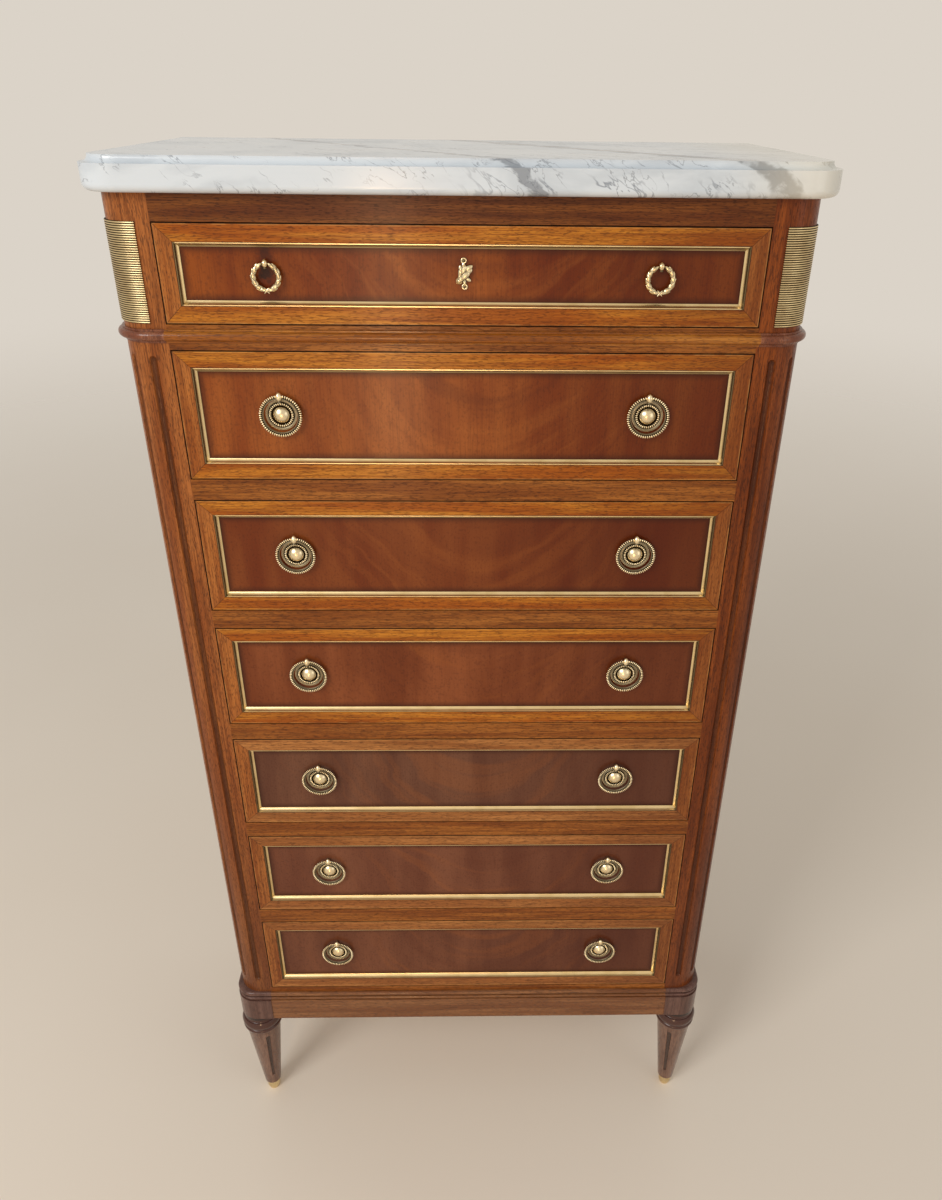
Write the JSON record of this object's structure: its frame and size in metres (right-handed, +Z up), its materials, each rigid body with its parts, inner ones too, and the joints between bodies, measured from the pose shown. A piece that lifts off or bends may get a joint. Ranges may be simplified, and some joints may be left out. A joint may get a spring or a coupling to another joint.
{
  "type": "chest of drawers",
  "caption": "Tall narrow chest of drawers with a marble top, framed fronts with hanging ring pulls, fluted rounded front posts and turned tapered legs.",
  "frame": {"origin": "on the floor, at the centre of the bounding box footprint", "axes": "+Z up, drawer fronts face -Y, +X to the right for someone facing the drawers"},
  "size_m": [0.732, 0.365, 1.429],
  "materials": {
    "marble": "polished white marble with grey veins",
    "mahogany": "solid mahogany, golden brown, French polished",
    "mahogany_veneer": "figured mahogany veneer, French polished",
    "dark_mahogany": "turned mahogany, dark red-brown, polished",
    "oak": "planed oak, waxed",
    "brass": "cast and pressed brass, aged"
  },
  "bodies": {
    "carcass": {"marble_top": "marble", "front_post_left": "mahogany", "front_post_right": "mahogany", "rear_posts": "mahogany", "side_rails": "mahogany", "top_frame": "mahogany", "drawer_rails": "mahogany", "waist_moulding": "mahogany", "base_moulding": "mahogany", "plinth": "mahogany", "side_panels": "mahogany_veneer", "legs": "dark_mahogany", "back_panel": "oak", "drawer_runners": "oak", "bottom_board": "oak", "sabots": "brass", "ribbed_plates": "brass"},
    "drawer_1": {"drawer_1_front": "mahogany_veneer", "drawer_1_brass_frame": "brass", "drawer_1_box": "oak", "drawer_1_pull_mounts": "brass", "escutcheon": "brass"},
    "drawer_1_ring_left": {"drawer_1_ring_left": "brass"},
    "drawer_1_ring_right": {"drawer_1_ring_right": "brass"},
    "drawer_2": {"drawer_2_front": "mahogany_veneer", "drawer_2_brass_frame": "brass", "drawer_2_box": "oak", "drawer_2_pull_mounts": "brass"},
    "drawer_2_ring_left": {"drawer_2_ring_left": "brass"},
    "drawer_2_ring_right": {"drawer_2_ring_right": "brass"},
    "drawer_3": {"drawer_3_front": "mahogany_veneer", "drawer_3_brass_frame": "brass", "drawer_3_box": "oak", "drawer_3_pull_mounts": "brass"},
    "drawer_3_ring_left": {"drawer_3_ring_left": "brass"},
    "drawer_3_ring_right": {"drawer_3_ring_right": "brass"},
    "drawer_4": {"drawer_4_front": "mahogany_veneer", "drawer_4_brass_frame": "brass", "drawer_4_box": "oak", "drawer_4_pull_mounts": "brass"},
    "drawer_4_ring_left": {"drawer_4_ring_left": "brass"},
    "drawer_4_ring_right": {"drawer_4_ring_right": "brass"},
    "drawer_5": {"drawer_5_front": "mahogany_veneer", "drawer_5_brass_frame": "brass", "drawer_5_box": "oak", "drawer_5_pull_mounts": "brass"},
    "drawer_5_ring_left": {"drawer_5_ring_left": "brass"},
    "drawer_5_ring_right": {"drawer_5_ring_right": "brass"},
    "drawer_6": {"drawer_6_front": "mahogany_veneer", "drawer_6_brass_frame": "brass", "drawer_6_box": "oak", "drawer_6_pull_mounts": "brass"},
    "drawer_6_ring_left": {"drawer_6_ring_left": "brass"},
    "drawer_6_ring_right": {"drawer_6_ring_right": "brass"},
    "drawer_7": {"drawer_7_front": "mahogany_veneer", "drawer_7_brass_frame": "brass", "drawer_7_box": "oak", "drawer_7_pull_mounts": "brass"},
    "drawer_7_ring_left": {"drawer_7_ring_left": "brass"},
    "drawer_7_ring_right": {"drawer_7_ring_right": "brass"}
  },
  "joints": [
    {"name": "drawer_1_slide", "type": "slide", "parent": "carcass", "child": "drawer_1", "axis": [0, -1, 0], "range_m": [0, 0.26]},
    {"name": "drawer_1_ring_left_swing", "type": "hinge", "parent": "drawer_1", "child": "drawer_1_ring_left", "pos_m": [-0.1955, -0.1676, 1.3332], "axis": [-1, 0, 0], "range_deg": [0, 110]},
    {"name": "drawer_1_ring_right_swing", "type": "hinge", "parent": "drawer_1", "child": "drawer_1_ring_right", "pos_m": [0.1955, -0.1676, 1.3332], "axis": [-1, 0, 0], "range_deg": [0, 110]},
    {"name": "drawer_2_slide", "type": "slide", "parent": "carcass", "child": "drawer_2", "axis": [0, -1, 0], "range_m": [0, 0.26]},
    {"name": "drawer_2_ring_left_swing", "type": "hinge", "parent": "drawer_2", "child": "drawer_2_ring_left", "pos_m": [-0.1955, -0.1676, 1.1999], "axis": [-1, 0, 0], "range_deg": [0, 110]},
    {"name": "drawer_2_ring_right_swing", "type": "hinge", "parent": "drawer_2", "child": "drawer_2_ring_right", "pos_m": [0.1955, -0.1676, 1.1999], "axis": [-1, 0, 0], "range_deg": [0, 110]},
    {"name": "drawer_3_slide", "type": "slide", "parent": "carcass", "child": "drawer_3", "axis": [0, -1, 0], "range_m": [0, 0.26]},
    {"name": "drawer_3_ring_left_swing", "type": "hinge", "parent": "drawer_3", "child": "drawer_3_ring_left", "pos_m": [-0.1955, -0.1676, 1.0349], "axis": [-1, 0, 0], "range_deg": [0, 110]},
    {"name": "drawer_3_ring_right_swing", "type": "hinge", "parent": "drawer_3", "child": "drawer_3_ring_right", "pos_m": [0.1955, -0.1676, 1.0349], "axis": [-1, 0, 0], "range_deg": [0, 110]},
    {"name": "drawer_4_slide", "type": "slide", "parent": "carcass", "child": "drawer_4", "axis": [0, -1, 0], "range_m": [0, 0.26]},
    {"name": "drawer_4_ring_left_swing", "type": "hinge", "parent": "drawer_4", "child": "drawer_4_ring_left", "pos_m": [-0.1955, -0.1676, 0.8699], "axis": [-1, 0, 0], "range_deg": [0, 110]},
    {"name": "drawer_4_ring_right_swing", "type": "hinge", "parent": "drawer_4", "child": "drawer_4_ring_right", "pos_m": [0.1955, -0.1676, 0.8699], "axis": [-1, 0, 0], "range_deg": [0, 110]},
    {"name": "drawer_5_slide", "type": "slide", "parent": "carcass", "child": "drawer_5", "axis": [0, -1, 0], "range_m": [0, 0.26]},
    {"name": "drawer_5_ring_left_swing", "type": "hinge", "parent": "drawer_5", "child": "drawer_5_ring_left", "pos_m": [-0.1955, -0.1676, 0.7049], "axis": [-1, 0, 0], "range_deg": [0, 110]},
    {"name": "drawer_5_ring_right_swing", "type": "hinge", "parent": "drawer_5", "child": "drawer_5_ring_right", "pos_m": [0.1955, -0.1676, 0.7049], "axis": [-1, 0, 0], "range_deg": [0, 110]},
    {"name": "drawer_6_slide", "type": "slide", "parent": "carcass", "child": "drawer_6", "axis": [0, -1, 0], "range_m": [0, 0.26]},
    {"name": "drawer_6_ring_left_swing", "type": "hinge", "parent": "drawer_6", "child": "drawer_6_ring_left", "pos_m": [-0.1955, -0.1676, 0.5399], "axis": [-1, 0, 0], "range_deg": [0, 110]},
    {"name": "drawer_6_ring_right_swing", "type": "hinge", "parent": "drawer_6", "child": "drawer_6_ring_right", "pos_m": [0.1955, -0.1676, 0.5399], "axis": [-1, 0, 0], "range_deg": [0, 110]},
    {"name": "drawer_7_slide", "type": "slide", "parent": "carcass", "child": "drawer_7", "axis": [0, -1, 0], "range_m": [0, 0.26]},
    {"name": "drawer_7_ring_left_swing", "type": "hinge", "parent": "drawer_7", "child": "drawer_7_ring_left", "pos_m": [-0.1955, -0.1676, 0.3749], "axis": [-1, 0, 0], "range_deg": [0, 110]},
    {"name": "drawer_7_ring_right_swing", "type": "hinge", "parent": "drawer_7", "child": "drawer_7_ring_right", "pos_m": [0.1955, -0.1676, 0.3749], "axis": [-1, 0, 0], "range_deg": [0, 110]}
  ]
}
